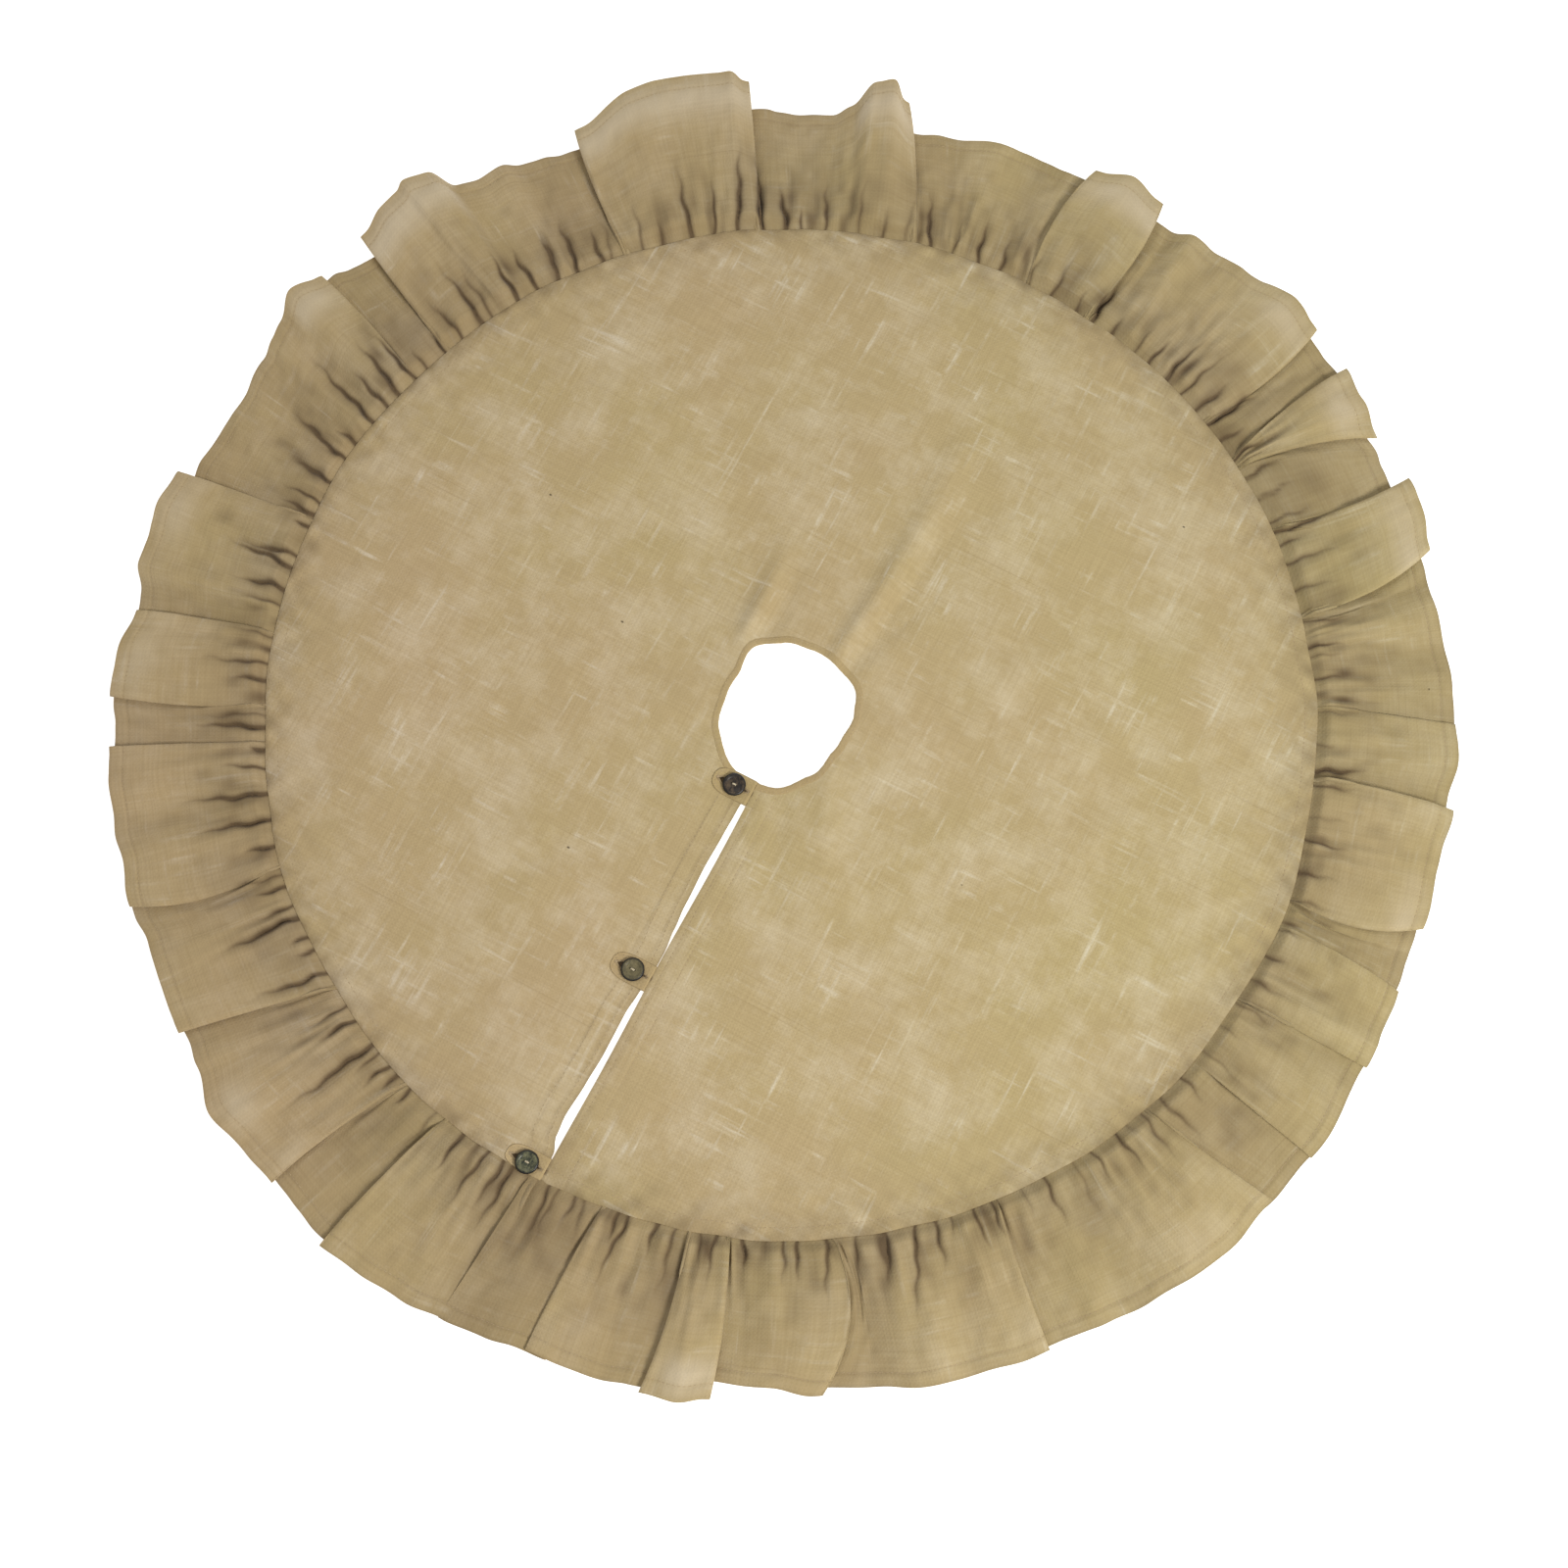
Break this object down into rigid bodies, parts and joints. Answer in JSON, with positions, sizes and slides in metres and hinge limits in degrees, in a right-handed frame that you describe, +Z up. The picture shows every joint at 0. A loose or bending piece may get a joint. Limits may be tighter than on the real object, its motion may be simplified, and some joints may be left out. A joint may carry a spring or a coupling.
{
  "type": "tree skirt",
  "caption": "Round burlap tree skirt with a trunk hole, a gathered ruffle and one straight slit closed by buttoned tabs.",
  "frame": {"origin": "centre of the trunk hole, on the floor", "axes": "+Z up along the trunk hole's axis; the slit runs from the hole to the hem along -Y; the side that opens lies at +X of the slit"},
  "size_m": [1.219, 1.219, 0.0272],
  "materials": {
    "burlap_panel": "coarse woven, matte",
    "burlap_ruffle": "coarse woven, gathered, matte",
    "burlap_binding": "coarse woven, folded strip",
    "burlap_facing": "coarse woven, doubled strip",
    "burlap_tab": "coarse woven, doubled tab",
    "thread_tan": "spun sewing thread",
    "thread_cream": "spun sewing thread",
    "shell_dark": "polished coconut shell, dark brown",
    "shell_olive": "polished coconut shell, olive brown",
    "shell_grey": "polished coconut shell, grey brown"
  },
  "bodies": {
    "skirt": {"panel_main": "burlap_panel", "neck_binding_main": "burlap_binding", "slit_facing_left": "burlap_facing", "ruffle_main": "burlap_ruffle", "gather_topstitch_main": "thread_tan", "neck_topstitch_main": "thread_tan", "facing_topstitch_left": "thread_tan", "hem_thread_main": "thread_tan", "button_anchor_stitches": "thread_cream"},
    "flap": {"panel_flap": "burlap_panel", "neck_binding_flap": "burlap_binding", "slit_facing_right": "burlap_facing", "ruffle_flap": "burlap_ruffle", "gather_topstitch_flap": "thread_tan", "neck_topstitch_flap": "thread_tan", "facing_topstitch_right": "thread_tan", "hem_thread_flap": "thread_tan"},
    "tab_upper": {"tab_upper": "burlap_tab", "buttonhole_stitch_upper": "thread_tan"},
    "shank_upper": {"thread_shank_upper": "thread_cream"},
    "button_upper": {"button_upper": "shell_dark", "button_stitch_upper": "thread_cream"},
    "tab_middle": {"tab_middle": "burlap_tab", "buttonhole_stitch_middle": "thread_tan"},
    "shank_middle": {"thread_shank_middle": "thread_cream"},
    "button_middle": {"button_middle": "shell_olive", "button_stitch_middle": "thread_cream"},
    "tab_lower": {"tab_lower": "burlap_tab", "buttonhole_stitch_lower": "thread_tan"},
    "shank_lower": {"thread_shank_lower": "thread_cream"},
    "button_lower": {"button_lower": "shell_grey", "button_stitch_lower": "thread_cream"}
  },
  "joints": [
    {"name": "flap_open", "type": "hinge", "parent": "skirt", "child": "flap", "pos_m": [0, 0, 0.0024], "axis": [-0.788, 0.6157, 0], "range_deg": [0, 160]},
    {"name": "tab_lift_upper", "type": "hinge", "parent": "flap", "child": "tab_upper", "pos_m": [0.003, -0.084, 0.003], "axis": [0, 1, 0], "range_deg": [0, 160], "deforming": ["tab_upper", "buttonhole_stitch_upper"]},
    {"name": "button_tilt_upper", "type": "hinge", "parent": "skirt", "child": "shank_upper", "pos_m": [-0.015, -0.084, 0.003], "axis": [0, 1, 0], "range_deg": [-10, 10], "stiffness_Nm_per_rad": 0.001},
    {"name": "button_spin_upper", "type": "hinge", "parent": "shank_upper", "child": "button_upper", "pos_m": [-0.015, -0.084, 0.0058], "axis": [0, 0, 1], "range_deg": [-90, 90], "stiffness_Nm_per_rad": 0.0002},
    {"name": "tab_lift_middle", "type": "hinge", "parent": "flap", "child": "tab_middle", "pos_m": [0.003, -0.273, 0.003], "axis": [0, 1, 0], "range_deg": [0, 160], "deforming": ["tab_middle", "buttonhole_stitch_middle"]},
    {"name": "button_tilt_middle", "type": "hinge", "parent": "skirt", "child": "shank_middle", "pos_m": [-0.015, -0.273, 0.003], "axis": [0, 1, 0], "range_deg": [-10, 10], "stiffness_Nm_per_rad": 0.001},
    {"name": "button_spin_middle", "type": "hinge", "parent": "shank_middle", "child": "button_middle", "pos_m": [-0.015, -0.273, 0.0058], "axis": [0, 0, 1], "range_deg": [-90, 90], "stiffness_Nm_per_rad": 0.0002},
    {"name": "tab_lift_lower", "type": "hinge", "parent": "flap", "child": "tab_lower", "pos_m": [0.003, -0.462, 0.003], "axis": [0, 1, 0], "range_deg": [0, 160], "deforming": ["tab_lower", "buttonhole_stitch_lower"]},
    {"name": "button_tilt_lower", "type": "hinge", "parent": "skirt", "child": "shank_lower", "pos_m": [-0.015, -0.462, 0.003], "axis": [0, 1, 0], "range_deg": [-10, 10], "stiffness_Nm_per_rad": 0.001},
    {"name": "button_spin_lower", "type": "hinge", "parent": "shank_lower", "child": "button_lower", "pos_m": [-0.015, -0.462, 0.0058], "axis": [0, 0, 1], "range_deg": [-90, 90], "stiffness_Nm_per_rad": 0.0002}
  ]
}
